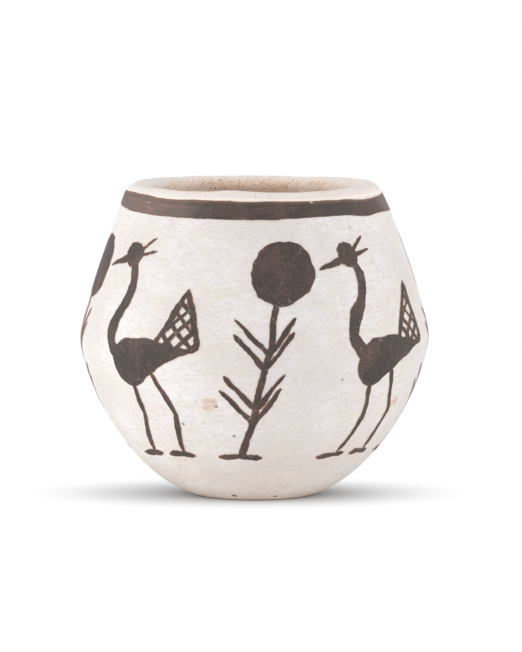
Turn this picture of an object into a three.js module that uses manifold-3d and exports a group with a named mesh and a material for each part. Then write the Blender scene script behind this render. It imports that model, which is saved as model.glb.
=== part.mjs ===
// A small hand-coiled clay pot with a round belly, a thick rounded lip, a coat of white slip
// and painted figures: four long-legged birds between four flowering plants, under a rim band.
// Millimetres, +Z up. The origin is the centre of the resting face, and the front faces -Y.
// The fired pot is one wall of clay. Its coat and its paint are separate solids that lie on it.

import * as THREE from 'three';
import { mergeVertices } from 'three/addons/utils/BufferGeometryUtils.js';
import Module from 'manifold-3d';

const wasm = await Module();
wasm.setup();

// Outline of the finished pot
const footRadius = 10.25; // flat face that it stands on
const bellyRadius = 35;
const bellyHeight = 31.8;
const shoulderRise = 29.2; // from the belly up to the outer edge of the lip
const neckRadius = 25.7; // outer edge of the lip
const lipRise = 1.6; // crest of the lip above its outer edge
const footSweep = 15; // how far the curves of the outline hold their direction
const bellySweepBelow = 7;
const bellySweepAbove = 5;
const neckSweep = 6;
const lipCrestShare = 0.45; // of the wall's thickness, from the outer edge in to the crest
const lipRoundness = 0.21; // of the wall's thickness
const footSlope = THREE.MathUtils.degToRad(10); // of the wall above the resting face
const neckLean = THREE.MathUtils.degToRad(25); // of the wall at the neck, from the vertical

// Thickness of the layers
const wallThickness = 5.2;
const floorThickness = 6.2;
const coatThickness = 0.35; // white slip
const paintThickness = 0.12;
const layerGap = 0.05; // between one layer and the next

// Unevenness left by the hand, all in millimetres of movement
const ovalness = 0.22;
const coilWaver = 0.16;
const lipTilt = 0.4; // the lip stands higher on the right than on the left
const lipWaver = 0.22;
const neckLeanAcross = -0.3; // the neck's centre off the foot's

// Rim band and the zone of figures under it
const bandDrop = 0.1; // from the lip's outer edge down to the band
const bandWidth = 3.6;
const bandWaver = 0.16; // of its hand-drawn edges
const figuresBelowBand = 3.4;
const figuresAboveFoot = 9.5; // height of the lowest painted stroke

// Each figure is drawn on a flat sheet ruled in squares. The sheets go round the belly side by
// side, and one square comes out about 1 mm wide and high. What follows is counted in squares.
const figurePairs = 4; // a bird and a plant each
const firstPlantAzimuth = THREE.MathUtils.degToRad(5); // from the front towards +X
const sheetColumns = 27.5;
const sheetRows = 44;
const strokeWidth = 1.2;
const fineStrokeWidth = 0.9;
const netLineWidth = 0.55;
const netSpacing = 2.2;
const flowerRadius = 6.3;
const bodyRadius = 4.8; // round end of the bird's drop-shaped body
const headRadius = 2.7;

// Fineness
const segmentsAround = 44;
const rowsBelowBelly = 7;
const rowsAboveBelly = 7;
const rowsOnLip = 3; // on each side of the crest
const rowsInside = 4; // on each side of the belly
const rowsOfFeather = 2; // over which the coat thins out at each of its edges
const footEdgeRow = 0.06; // share of the lower curve at which the coat begins
const discFineness = 7; // pieces to a quarter of each drawn disc's outline
const neckFineness = 7; // pieces along the bird's neck
const weldDistance = 1e-5;

const neckHeight = bellyHeight + shoulderRise;
const bandTop = neckHeight - bandDrop;
const bandFoot = bandTop - bandWidth;
const figureZone = bandFoot - figuresBelowBand - figuresAboveFoot;
const figureScale = new THREE.Vector2(
  (2 * Math.PI * bellyRadius) / (2 * figurePairs) / sheetColumns,
  figureZone / sheetRows,
);

// The finished outline as four curves, x outwards and y up: foot to belly, belly to the lip's
// outer edge, on to the crest, and over it to the inside of the mouth.
function outlineCurves() {
  const foot = new THREE.Vector2(footRadius, 0);
  const belly = new THREE.Vector2(bellyRadius, bellyHeight);
  const neck = new THREE.Vector2(neckRadius, neckHeight);
  const crest = new THREE.Vector2(neckRadius - lipCrestShare * wallThickness, neckHeight + lipRise);
  const footWay = new THREE.Vector2(Math.cos(footSlope), Math.sin(footSlope));
  const neckWay = new THREE.Vector2(-Math.sin(neckLean), Math.cos(neckLean));
  const inward = new THREE.Vector2(-Math.cos(neckLean), -Math.sin(neckLean));
  const mouth = neck.clone().addScaledVector(inward, wallThickness);
  const lipSweep = lipRoundness * wallThickness;
  return [
    new THREE.CubicBezierCurve(
      foot,
      foot.clone().addScaledVector(footWay, footSweep),
      belly.clone().add(new THREE.Vector2(0, -bellySweepBelow)),
      belly,
    ),
    new THREE.CubicBezierCurve(
      belly,
      belly.clone().add(new THREE.Vector2(0, bellySweepAbove)),
      neck.clone().addScaledVector(neckWay, -neckSweep),
      neck,
    ),
    new THREE.CubicBezierCurve(
      neck,
      neck.clone().addScaledVector(neckWay, lipSweep),
      crest.clone().add(new THREE.Vector2(lipSweep, 0)),
      crest,
    ),
    new THREE.CubicBezierCurve(
      crest,
      crest.clone().add(new THREE.Vector2(-2 * lipSweep, 0)),
      mouth.clone().addScaledVector(neckWay, 2 * lipSweep),
      mouth,
    ),
  ];
}

// Stations along the outline from the foot to the mouth: a point, the way out of the wall there,
// whether it lies on the wall or on the lip, and how much of the coat's thickness lies on it.
function outlineStations() {
  const rows = [rowsBelowBelly, rowsAboveBelly, rowsOnLip, rowsOnLip];
  const made = outlineCurves().flatMap((curve, index) => {
    const shares = Array.from({ length: rows[index] }, (_, row) => (row + 1) / rows[index]);
    if (index === 0) {
      shares.unshift(0, footEdgeRow);
    }
    return shares.map((share) => {
      const along = curve.getTangent(share);
      const outward = new THREE.Vector2(along.y, -along.x);
      return { point: curve.getPoint(share), outward, onWall: index < 2 };
    });
  });
  const last = made.length - 1;
  made.forEach((station, index) => {
    station.coat = Math.min(1, index / rowsOfFeather, (last - index) / rowsOfFeather);
  });
  return made;
}

const stations = outlineStations();

function sunk(station, depth) {
  return station.point.clone().addScaledVector(station.outward, -depth);
}

// Every layer is a true revolve first, and then takes on this one smooth unevenness, so that the
// layers keep their distance from each other.
function handFormed(point) {
  const radius = Math.hypot(point.x, point.y);
  const azimuth = Math.atan2(point.x, -point.y);
  const height = point.z / neckHeight;
  const outwards = radius / bellyRadius;
  const swell = ovalness * Math.cos(2 * azimuth + 0.7) + coilWaver * Math.sin(3 * azimuth + 4 * height);
  const rise = lipTilt * Math.sin(azimuth) + lipWaver * Math.cos(3 * azimuth + 0.8);
  const stretch = 1 + swell / bellyRadius;
  return point.set(
    point.x * stretch + neckLeanAcross * height * height,
    point.y * stretch,
    point.z + rise * height * height * outwards,
  );
}

// Turns a closed three.js geometry into a solid, without the triangles that collapse on the axis.
function solidFrom(geometry) {
  const bare = geometry.clone();
  bare.deleteAttribute('normal');
  bare.deleteAttribute('uv');
  const merged = mergeVertices(bare, weldDistance);
  const corners = merged.index.array;
  const triVerts = [];
  for (let i = 0; i < corners.length; i += 3) {
    const [a, b, c] = corners.subarray(i, i + 3);
    if (a !== b && b !== c && c !== a) {
      triVerts.push(a, b, c);
    }
  }
  return new wasm.Manifold(
    new wasm.Mesh({
      numProp: 3,
      vertProperties: merged.attributes.position.array,
      triVerts: new Uint32Array(triVerts),
    }),
  );
}

// Revolves a profile of (radius, height) points round the pot's axis and forms it by hand.
// Where a stroke of paint ends, wavered first moves the points of its edges.
function revolved(profile, wavered = (point) => point) {
  const geometry = new THREE.LatheGeometry(profile, segmentsAround);
  geometry.rotateX(Math.PI / 2);
  const position = geometry.attributes.position;
  const point = new THREE.Vector3();
  for (let i = 0; i < position.count; i += 1) {
    handFormed(wavered(point.fromBufferAttribute(position, i)));
    position.setXYZ(i, point.x, point.y, point.z);
  }
  return solidFrom(geometry);
}

// A skin between two depths under the finished outline, over a run of its stations.
function skin(run, outerDepth, innerDepth, wavered) {
  const outer = run.map((station) => sunk(station, outerDepth(station)));
  const inner = run.map((station) => sunk(station, innerDepth(station))).reverse();
  return revolved([...outer, ...inner, outer[0].clone()], wavered);
}

// The clay wall: resting face, outside under the coat, lip, inside of the wall and floor.
function clayBody() {
  const outside = stations.map((station) => sunk(station, (coatThickness + layerGap) * station.coat));
  const inside = [];
  for (const curve of outlineCurves().slice(0, 2).reverse()) {
    for (let row = 1; row <= rowsInside; row += 1) {
      const share = 1 - row / rowsInside;
      const along = curve.getTangent(share);
      const point = curve.getPoint(share);
      const rowHeight = Math.min(1, point.y / bellyHeight);
      const thickness = THREE.MathUtils.lerp(floorThickness, wallThickness, rowHeight);
      inside.push(point.add(new THREE.Vector2(-along.y, along.x).multiplyScalar(thickness)));
    }
  }
  const floor = inside.at(-1).clone().setX(0);
  return revolved([new THREE.Vector2(0, 0), ...outside, ...inside, floor]);
}

// The white slip covers the outside and the lip, and leaves the resting face bare.
function slipCoat() {
  const run = stations.filter((station) => station.coat > 0);
  return skin(run, () => 0, (station) => coatThickness * station.coat);
}

// Paint could lie anywhere on the wall: each figure is cut out of this skin.
function paintSkin() {
  const run = stations.filter((station) => station.onWall && station.point.y > 0);
  return skin(run, () => -layerGap - paintThickness, () => -layerGap);
}

const paintable = paintSkin();

// A new station between two neighbours, at a height on the wall.
function stationAt(height) {
  const above = stations.findIndex((station) => station.point.y > height);
  const [low, high] = [stations[above - 1], stations[above]];
  const part = (height - low.point.y) / (high.point.y - low.point.y);
  return {
    point: low.point.clone().lerp(high.point, part),
    outward: low.outward.clone().lerp(high.outward, part),
  };
}

// The band keeps the wall's own rows, and its two drawn edges waver along the wall.
function rimBand() {
  const between = stations.filter(({ point, onWall }) => onWall && point.y > bandFoot && point.y < bandTop);
  const run = [stationAt(bandFoot), ...between, stationAt(bandTop)];
  const middle = (bandFoot + bandTop) / 2;
  const edgeReach = bandWidth / 2 - paintThickness - layerGap;
  const wavered = (point) => {
    const azimuth = Math.atan2(point.x, -point.y);
    const edge = Math.sign(point.z - middle);
    const onEdge = Math.abs(point.z - middle) >= edgeReach;
    const shift = onEdge ? bandWaver * Math.sin((5 + edge) * azimuth + 2 * edge) : 0;
    const narrowing = 1 - (shift * Math.tan(neckLean)) / Math.hypot(point.x, point.y);
    return point.set(point.x * narrowing, point.y * narrowing, point.z + shift);
  };
  return skin(run, () => -layerGap - paintThickness, () => -layerGap, wavered);
}

// Brush shapes on the flat sheet: x across and y up in squares, each one a closed THREE.Shape.

// A stroke along a curve, with a width at its start and one at its end, and pointed ends.
function stroke(curve, startWidth, endWidth, steps) {
  const left = [];
  const right = [];
  for (let step = 0; step <= steps; step += 1) {
    const share = step / steps;
    const along = curve.getTangent(share);
    const half = THREE.MathUtils.lerp(startWidth, endWidth, share) / 2;
    const side = new THREE.Vector2(-along.y, along.x).multiplyScalar(half);
    left.push(curve.getPoint(share).add(side));
    right.push(curve.getPoint(share).sub(side));
  }
  const start = curve.getPoint(0).addScaledVector(curve.getTangent(0), -startWidth / 2);
  const end = curve.getPoint(1).addScaledVector(curve.getTangent(1), endWidth / 2);
  return new THREE.Shape([start, ...right, end, ...left.reverse()]);
}

// Straight strokes from each point to the next.
function brushed(corners, startWidth, endWidth = startWidth) {
  return corners.slice(1).map((corner, i) => {
    const line = new THREE.LineCurve(new THREE.Vector2(...corners[i]), new THREE.Vector2(...corner));
    return stroke(line, startWidth, endWidth, 1);
  });
}

function disc([x, y], radius) {
  return new THREE.Shape().absarc(x, y, radius, 0, 2 * Math.PI);
}

// A drop with its round end about one point and its tip at another.
function drop([x, y], radius, [tipX, tipY]) {
  const reach = Math.hypot(tipX - x, tipY - y);
  const heading = Math.atan2(tipY - y, tipX - x);
  const turn = Math.acos(radius / reach);
  const shape = new THREE.Shape();
  shape.absarc(x, y, radius, heading + turn, heading - turn + 2 * Math.PI);
  shape.lineTo(tipX, tipY);
  shape.closePath();
  return shape;
}

// Cuts a drawn shape out as a straight prism that runs from inside the pot to outside it.
function prism(shape) {
  const depth = bellyRadius + wallThickness - footRadius;
  const finish = { depth, bevelEnabled: false, curveSegments: discFineness };
  const geometry = new THREE.ExtrudeGeometry(shape, finish);
  geometry.scale(figureScale.x, figureScale.y, 1);
  geometry.translate(0, figuresAboveFoot, footRadius);
  geometry.rotateX(Math.PI / 2);
  return solidFrom(geometry);
}

function united(shapes) {
  return shapes.map(prism).reduce((all, one) => all.add(one));
}

// A triangle filled with a net of crossing lines, with a heavier line along each side.
function nettedWedge(corners) {
  const [a, b, c] = corners.map(([x, y]) => new THREE.Vector2(x, y));
  const centre = a.clone().add(b).add(c).divideScalar(3);
  const reach = Math.max(...[a, b, c].map((corner) => corner.distanceTo(centre)));
  const count = Math.floor(reach / netSpacing);
  const net = [];
  for (const turn of [Math.PI / 4, -Math.PI / 4]) {
    const along = new THREE.Vector2(Math.cos(turn), Math.sin(turn)).multiplyScalar(reach);
    const across = new THREE.Vector2(-Math.sin(turn), Math.cos(turn)).multiplyScalar(netSpacing);
    for (let i = -count; i <= count; i += 1) {
      const middle = centre.clone().addScaledVector(across, i);
      const ends = [middle.clone().sub(along), middle.clone().add(along)];
      net.push(...brushed(ends.map((end) => [end.x, end.y]), netLineWidth));
    }
  }
  const field = prism(new THREE.Shape([a, b, c]));
  return united(net).intersect(field).add(united(brushed([...corners, corners[0]], strokeWidth)));
}

// A long-legged bird that walks to the left, with a netted tail.
function bird() {
  const head = [-6.3, 40.2];
  const body = [-3.2, 19.5];
  const neck = new THREE.CubicBezierCurve(
    new THREE.Vector2(-5.5, 20.5),
    new THREE.Vector2(-15.5, 27),
    new THREE.Vector2(1.5, 30.5),
    new THREE.Vector2(-6, 40),
  );
  const solid = united([
    drop(body, bodyRadius, [11.5, 22.5]),
    disc(head, headRadius),
    stroke(neck, 2.5 * strokeWidth, 1.6 * strokeWidth, neckFineness),
    ...brushed([[-7, 40], [-13, 37.6]], 1.4 * strokeWidth, 0.4 * strokeWidth), // beak
    ...brushed([[-5, 41], [-0.8, 43.4]], fineStrokeWidth), // crest feathers
    ...brushed([[-5, 40.4], [0.2, 40.8]], fineStrokeWidth),
    ...brushed([[-3.6, 16.5], [-2.6, 8.6], [-4.6, 1.6]], strokeWidth), // front leg and foot
    ...brushed([[-2.6, 1], [-8.6, 0.6]], strokeWidth),
    ...brushed([[2.2, 17.5], [5.4, 9.4], [3.4, 1.6]], strokeWidth), // back leg and foot
    ...brushed([[5.2, 1], [-0.4, 0.6]], strokeWidth),
  ]);
  return solid.add(nettedWedge([[2.5, 21], [13, 22.5], [9.5, 34]]));
}

// A plant with a slanted stalk, a round flower and two pairs of doubled leaves.
function plant() {
  const root = [-4.6, 0.8];
  const flower = [3, 37.2];
  const leafHeights = [8, 10.8, 19, 21.8];
  const shapes = [
    disc(flower, flowerRadius),
    ...brushed([root, flower], 1.15 * strokeWidth),
    ...brushed([[-8.6, 0.6], [-0.6, 0.9]], strokeWidth), // the ground under it
  ];
  for (const height of leafHeights) {
    const x = THREE.MathUtils.mapLinear(height, root[1], flower[1], root[0], flower[0]);
    shapes.push(...brushed([[x, height], [x - 6.2, height + 6.4]], strokeWidth, fineStrokeWidth));
    shapes.push(...brushed([[x, height], [x + 5.6, height + 6.8]], strokeWidth, fineStrokeWidth));
  }
  return united(shapes);
}

function namedMesh(name, solid, color) {
  const made = solid.getMesh();
  const geometry = new THREE.BufferGeometry();
  geometry.setAttribute('position', new THREE.BufferAttribute(made.vertProperties, 3));
  geometry.setIndex(new THREE.BufferAttribute(made.triVerts, 1));
  geometry.computeVertexNormals();
  const material = new THREE.MeshStandardMaterial({ color, metalness: 0, roughness: 0.85 });
  const mesh = new THREE.Mesh(geometry, material);
  mesh.name = name;
  return mesh;
}

const clayColor = 0xc9b29e;
const slipColor = 0xe6deda;
const paintColor = 0x5b514d;

const pot = new THREE.Group();
pot.add(namedMesh('clay_body', clayBody(), clayColor));
pot.add(namedMesh('slip_coat', slipCoat(), slipColor));
pot.add(namedMesh('rim_band', rimBand(), paintColor));

const birdPrism = bird();
const plantPrism = plant();
const pairPitch = (2 * Math.PI) / figurePairs;

// A figure's prism points to the front, and is turned about the axis to its own place.
function painted(prismSolid, azimuth) {
  return paintable.intersect(prismSolid.rotate([0, 0, THREE.MathUtils.radToDeg(azimuth)]));
}

for (let pair = 0; pair < figurePairs; pair += 1) {
  const plantAzimuth = firstPlantAzimuth + pair * pairPitch;
  const birdAzimuth = plantAzimuth + pairPitch / 2;
  pot.add(namedMesh(`plant_${pair + 1}`, painted(plantPrism, plantAzimuth), paintColor));
  pot.add(namedMesh(`bird_${pair + 1}`, painted(birdPrism, birdAzimuth), paintColor));
}

export default pot;
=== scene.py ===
from math import cos, exp, pi, radians, sin

import bmesh
import bpy
import numpy as np
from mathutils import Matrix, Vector, noise


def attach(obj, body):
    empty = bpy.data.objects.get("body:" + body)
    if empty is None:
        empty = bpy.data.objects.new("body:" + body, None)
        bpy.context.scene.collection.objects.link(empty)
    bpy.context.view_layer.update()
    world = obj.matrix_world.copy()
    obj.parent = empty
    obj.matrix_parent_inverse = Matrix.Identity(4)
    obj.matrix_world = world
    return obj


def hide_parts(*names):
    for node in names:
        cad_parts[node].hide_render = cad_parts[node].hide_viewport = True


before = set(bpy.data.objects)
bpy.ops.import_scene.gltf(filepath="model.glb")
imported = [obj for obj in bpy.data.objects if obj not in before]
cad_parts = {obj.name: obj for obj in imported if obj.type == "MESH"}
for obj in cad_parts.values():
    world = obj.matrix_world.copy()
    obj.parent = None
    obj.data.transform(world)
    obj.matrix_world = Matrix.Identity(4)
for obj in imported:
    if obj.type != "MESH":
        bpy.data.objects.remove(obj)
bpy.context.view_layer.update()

# A small hand-coiled clay pot: buff clay under a white slip, a dark band at the rim, and four
# painted birds between four painted plants. All sizes here are in millimetres, and each finished
# mesh is scaled down to metres.
print("frame loaded")

millimetre = 0.001
creaseAngle = radians(50)

pot = {
    "footRadius": 10.25, "bellyRadius": 35.0, "bellyHeight": 31.8,
    "neckRadius": 25.7, "neckHeight": 61.0, "lipRise": 1.6,
    "footSweep": 15.0, "bellySweepBelow": 7.0, "bellySweepAbove": 5.0, "neckSweep": 6.0,
    "footSlope": radians(10), "neckLean": radians(25),
    "wall": 5.2, "floor": 6.2, "lipCrest": 0.45, "lipRoundness": 0.21,
}

# How the hand left it: slow swells, small dents, and dents and bumps pressed into the lip.
hand = {
    "ovalness": 0.22, "coilWaver": 0.16, "lipTilt": 0.4, "lipWaver": 0.22, "neckLeanAcross": -0.3,
    "seed": 5, "dents": 0.09, "dentSize": 9.0, "ripples": 0.03, "rippleSize": 3.2,
    "lipDents": 0.16, "lipDentSize": 6.0,
    # heights from and to which a form comes in
    "evenFoot": (0.2, 4.0), "nearLip": (56.5, 61.5), "atCrest": (60.5, 62.5),
    # azimuth, rise, spread in degrees
    "neckTouches": [(-92, 0.6, 42), (100, -0.15, 40), (-42, 0.2, 24)],
    "lipTouches": [(-11, 0.3, 9), (-36, -0.25, 9), (22, -0.15, 13), (64, 0.15, 12)],
}

noise.seed_set(hand["seed"])  # without it, the dents lie elsewhere in every run


def curveRun(a, b, c, d, count=300):
    # Points and directions along one cubic curve.
    a, b, c, d = (np.array(corner) for corner in (a, b, c, d))
    share = np.linspace(0, 1, count)[:, None]
    rest = 1 - share
    place = rest**3 * a + 3 * rest**2 * share * b + 3 * rest * share**2 * c + share**3 * d
    way = rest**2 * (b - a) + 2 * rest * share * (c - b) + share**2 * (d - c)
    return place, way / np.linalg.norm(way, axis=1)[:, None]


def outlineCurves():
    # Foot to belly, belly to the outer edge of the lip, on to the crest, and over it to the mouth.
    foot = np.array([pot["footRadius"], 0.0])
    belly = np.array([pot["bellyRadius"], pot["bellyHeight"]])
    neck = np.array([pot["neckRadius"], pot["neckHeight"]])
    crest = neck + (-pot["lipCrest"] * pot["wall"], pot["lipRise"])
    footWay = np.array([cos(pot["footSlope"]), sin(pot["footSlope"])])
    neckWay = np.array([-sin(pot["neckLean"]), cos(pot["neckLean"])])
    mouth = neck + pot["wall"] * np.array([-cos(pot["neckLean"]), -sin(pot["neckLean"])])
    sweep = pot["lipRoundness"] * pot["wall"]
    underBelly, overBelly = belly - (0, pot["bellySweepBelow"]), belly + (0, pot["bellySweepAbove"])
    return [
        curveRun(foot, foot + footWay * pot["footSweep"], underBelly, belly),
        curveRun(belly, overBelly, neck - neckWay * pot["neckSweep"], neck),
        curveRun(neck, neck + neckWay * sweep, crest + (sweep, 0), crest),
        curveRun(crest, crest - (2 * sweep, 0), mouth + 2 * neckWay * sweep, mouth),
    ]


def outlineTable():
    # The whole outline by the length along it: radius, height, and the way out of the wall.
    curves = outlineCurves()
    place = np.vstack([points[min(index, 1):] for index, (points, _) in enumerate(curves)])
    way = np.vstack([ways[min(index, 1):] for index, (_, ways) in enumerate(curves)])
    step = np.linalg.norm(np.diff(place, axis=0), axis=1)
    along = np.concatenate([[0], np.cumsum(step)])
    marks = np.cumsum([len(points) - 1 for points, _ in curves])
    return along, place, np.column_stack([way[:, 1], -way[:, 0]]), marks


outlineAlong, outlinePlace, outlineOut, curveEnds = outlineTable()
alongNeck, alongCrest, alongMouth = (outlineAlong[mark] for mark in curveEnds[1:])


def onOutline(along, depth=0.0):
    # Radius and height at a length along the outline, sunk to a depth under it.
    places = [np.interp(along, outlineAlong, outlinePlace[:, axis]) for axis in (0, 1)]
    ways = [np.interp(along, outlineAlong, outlineOut[:, axis]) for axis in (0, 1)]
    return np.column_stack([place - way * depth for place, way in zip(places, ways)])


def alongAt(height):
    # Length along the outer wall at a height on it.
    return np.interp(height, outlinePlace[:curveEnds[1] + 1, 1], outlineAlong[:curveEnds[1] + 1])


def eased(value, low, high):
    share = np.clip((value - low) / (high - low), 0, 1)
    return share * share * (3 - 2 * share)


def formByHand(bm):
    # Every layer takes on the same unevenness, so that they keep their distance from each other.
    x, y, z = np.array([corner.co for corner in bm.verts]).T
    azimuth = np.arctan2(x, -y)
    height = z / pot["neckHeight"]
    swell = hand["ovalness"] * np.cos(2 * azimuth + 0.7)
    swell += hand["coilWaver"] * np.sin(3 * azimuth + 4 * height)
    rise = hand["lipTilt"] * np.sin(azimuth) + hand["lipWaver"] * np.cos(3 * azimuth + 0.8)
    rise *= height**2 * np.hypot(x, y) / pot["bellyRadius"]
    nearLip = eased(z, *hand["nearLip"])
    for touches, share in (("neckTouches", nearLip), ("lipTouches", eased(z, *hand["atCrest"]))):
        for degrees, lift, spread in hand[touches]:
            away = np.degrees(np.abs(np.angle(np.exp(1j * (azimuth - radians(degrees))))))
            rise += lift * np.exp(-(away / spread) ** 2) * share
    stretch = 1 + swell / pot["bellyRadius"]
    formed = np.column_stack([
        x * stretch + hand["neckLeanAcross"] * height**2,
        y * stretch,
        z + rise,
    ])
    standing = eased(z, *hand["evenFoot"])
    for corner, place, free, top in zip(bm.verts, formed, standing, nearLip):
        spot = Vector(place)
        dent = noise.noise_vector(spot / hand["dentSize"]) * hand["dents"]
        dent += noise.noise_vector(spot / hand["rippleSize"]) * hand["ripples"]
        lipDent = noise.noise(Vector((spot.x, spot.y, 0)) / hand["lipDentSize"])
        dent.z += lipDent * hand["lipDents"] * top
        corner.co = spot + dent * free


def spinProfile(bm, profile, lengths, steps, closed):
    # Turns a run of (radius, height) points round the pot's axis. Every vertex keeps its length
    # along the outline, which the finishes read.
    alongWall = bm.verts.layers.float.new("alongWall")
    corners = [bm.verts.new((radius, 0, height)) for radius, height in profile]
    for corner, length in zip(corners, lengths):
        corner[alongWall] = length
    edges = [bm.edges.new(pair) for pair in zip(corners, corners[1:])]
    if closed:
        edges.append(bm.edges.new((corners[-1], corners[0])))
    bmesh.ops.spin(bm, geom=corners + edges, cent=(0, 0, 0), axis=(0, 0, 1), dvec=(0, 0, 0),
                   angle=2 * pi, steps=steps, use_merge=True)
    bmesh.ops.remove_doubles(bm, verts=bm.verts, dist=0.001)
    bmesh.ops.recalc_face_normals(bm, faces=bm.faces)


def finishPiece(bm, name, material, slot, *nodes):
    # Scales the mesh to metres, gives it its finish and puts it in the frame.
    bmesh.ops.scale(bm, vec=(millimetre,) * 3, verts=bm.verts)
    mesh = bpy.data.meshes.new(name)
    bm.to_mesh(mesh)
    bm.free()
    mesh.set_sharp_from_angle(angle=creaseAngle)
    mesh.materials.append(material)
    piece = bpy.data.objects.new(name, mesh)
    bpy.context.scene.collection.objects.link(piece)
    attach(piece, "root")
    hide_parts(*nodes)
    triangles = sum(len(face.vertices) - 2 for face in mesh.polygons)
    print(name, "made,", triangles, "triangles")


# Node helpers

def nodeIn(tree, kind, sockets=None, **settings):
    made = tree.nodes.new("ShaderNode" + kind)
    for name, value in settings.items():
        setattr(made, name, value)
    for name, value in (sockets or {}).items():
        if isinstance(value, bpy.types.NodeSocket):
            tree.links.new(value, made.inputs[name])
        else:
            made.inputs[name].default_value = value
    return made


def colourOf(red, green, blue):
    # A colour as a paint program shows it, turned into the linear values that the shader takes.
    shares = [value / 255 for value in (red, green, blue)]
    linear = [((share + 0.055) / 1.055) ** 2.4 if share > 0.04045 else share / 12.92
              for share in shares]
    return (*linear, 1.0)


def mixColour(tree, factor, low, high, blend="MIX"):
    # low and high are sockets or colours as a paint program shows them
    low, high = (tone if isinstance(tone, bpy.types.NodeSocket) else colourOf(*tone)
                 for tone in (low, high))
    mixed = nodeIn(tree, "Mix", {0: factor, 6: low, 7: high}, data_type="RGBA", blend_type=blend)
    return mixed.outputs[2]


def mathOf(tree, operation, first, second=0.5):
    return nodeIn(tree, "Math", {0: first, 1: second}, operation=operation).outputs[0]


def product(tree, first, second):
    return mathOf(tree, "MULTIPLY", first, second)


def ranged(tree, value, low, high, toLow=0.0, toHigh=1.0):
    limits = {"Value": value, "From Min": low, "From Max": high, "To Min": toLow, "To Max": toHigh}
    return nodeIn(tree, "MapRange", limits, interpolation_type="SMOOTHSTEP").outputs[0]


def grainOf(tree, coords, size, detail=3.0, roughness=0.55, stretch=(1, 1, 1), offset=(0, 0, 0)):
    # Noise whose features are about size millimetres, drawn out where stretch is under 1.
    scale = tuple(1 / millimetre / size * part for part in stretch)
    mapped = nodeIn(tree, "Mapping", {"Vector": coords, "Scale": scale, "Location": offset})
    sockets = {"Vector": mapped.outputs[0], "Scale": 1.0, "Detail": detail, "Roughness": roughness}
    return nodeIn(tree, "TexNoise", sockets).outputs[0]


def dotsOf(tree, coords, spacing, size, share, offset=(0, 0, 0)):
    # Round dots of up to size millimetres, in a share of the cells of a loose net. The smallest
    # are about a third as wide.
    scale = (1 / millimetre / spacing,) * 3
    mapped = nodeIn(tree, "Mapping", {"Vector": coords, "Scale": scale, "Location": offset})
    cells = nodeIn(tree, "TexVoronoi", {"Vector": mapped.outputs[0], "Scale": 1.0})
    lot = nodeIn(tree, "SeparateColor", {"Color": cells.outputs["Color"]})
    reach = ranged(tree, lot.outputs[1], 0, 1, 0.35 * size / spacing / 2, size / spacing / 2)
    inside = mathOf(tree, "DIVIDE", cells.outputs["Distance"], reach)
    spot = ranged(tree, inside, 0.6, 1.1, 1.0, 0.0)
    chosen = mathOf(tree, "LESS_THAN", lot.outputs[0], share)
    return product(tree, spot, chosen)


def blotchAt(tree, coords, azimuth, height, width, tall, ragged=0.5):
    # A soft mark of a given width and height at one place on the outer wall.
    radius = onOutline(alongAt(height))[0][0]
    turn = radians(azimuth)
    place = Vector((radius * sin(turn), -radius * cos(turn), height)) * millimetre
    scale = Vector(2 / millimetre / reach for reach in (width, width, tall))
    middle = Vector(-place[axis] * scale[axis] for axis in range(3))
    mapped = nodeIn(tree, "Mapping", {"Vector": coords, "Scale": scale, "Location": middle})
    away = nodeIn(tree, "VectorMath", {0: mapped.outputs[0]}, operation="LENGTH").outputs["Value"]
    edge = mathOf(tree, "SUBTRACT", grainOf(tree, coords, width * 0.35, 3.0), 0.5)
    away = mathOf(tree, "ADD", away, product(tree, edge, 2 * ragged))
    return ranged(tree, away, 0.25, 1.0, 1.0, 0.0)


def newFinish(name):
    material = bpy.data.materials.new(name)
    material.use_nodes = True
    tree = material.node_tree
    coords = nodeIn(tree, "TexCoord").outputs["Object"]
    return material, tree, coords, tree.nodes["Principled BSDF"]


# Bare clay: the gritty inside of the pot, the resting face and the scuffed edges of the slip

clay = {
    "colour": (240, 224, 212), "warm": (228, 198, 174), "deep": (192, 148, 114),
    "pink": (236, 198, 182), "inner": (226, 214, 203), "grit": (116, 84, 64),
    "brownGrain": (150, 108, 82), "paleGrain": (246, 239, 233), "dustAndLight": (246, 231, 218),
    # painted shade where the foot meets the floor
    "contactShade": (92, 82, 76),
    "roughness": 0.92, "gloss": 0.2, "relief": 0.16, "bump": 0.9,
    "cloudSize": 7.0, "fineSize": 0.7, "flushSize": 3.5, "patchSize": 1.3, "crowdSize": 3.0,
    # dots: spacing, size, share of the cells, offset
    "paleGrains": (1.1, 0.5, 0.3, (4, 1, 9)), "brownGrains": (0.45, 0.38, 0.6, (3, 7, 4)),
    "darkGrains": [(0.45, 0.32, 0.5, (7, 3, 2)), (1.2, 0.42, 0.22, (1, 9, 5))],
    "pits": (1.6, 0.7, 0.25, (2, 8, 5)),
    "dusted": (0.6, 5.0),  # past the crest
    # painted light: paler clay towards the left and right inside the mouth
    "litSidesInside": (7, 16), "dustShare": 0.75, "sideLightShare": 0.5,
    "insideShadeShare": 0.55, "innerShare": 0.65,
    "footChips": [  # azimuth, height, width, tallness
        (-16, 1.35, 1.6, 2.2), (17, 1.2, 1.3, 0.9), (130, 1.3, 2.0, 1.4), (-100, 1.2, 1.6, 1.2),
    ],
    # where the painted shade lies along the foot
    "footShadeLine": (0.1, 0.7, 1.2, 1.0),  # length along the wall, half width, fade, strength
}


def sideShare(tree, coords, start, end):
    # Grows towards the left and right sides of the pot, between two lengths from its middle.
    across = nodeIn(tree, "SeparateXYZ", {"Vector": coords}).outputs["X"]
    return ranged(tree, mathOf(tree, "ABSOLUTE", across), start * millimetre, end * millimetre)


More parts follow.
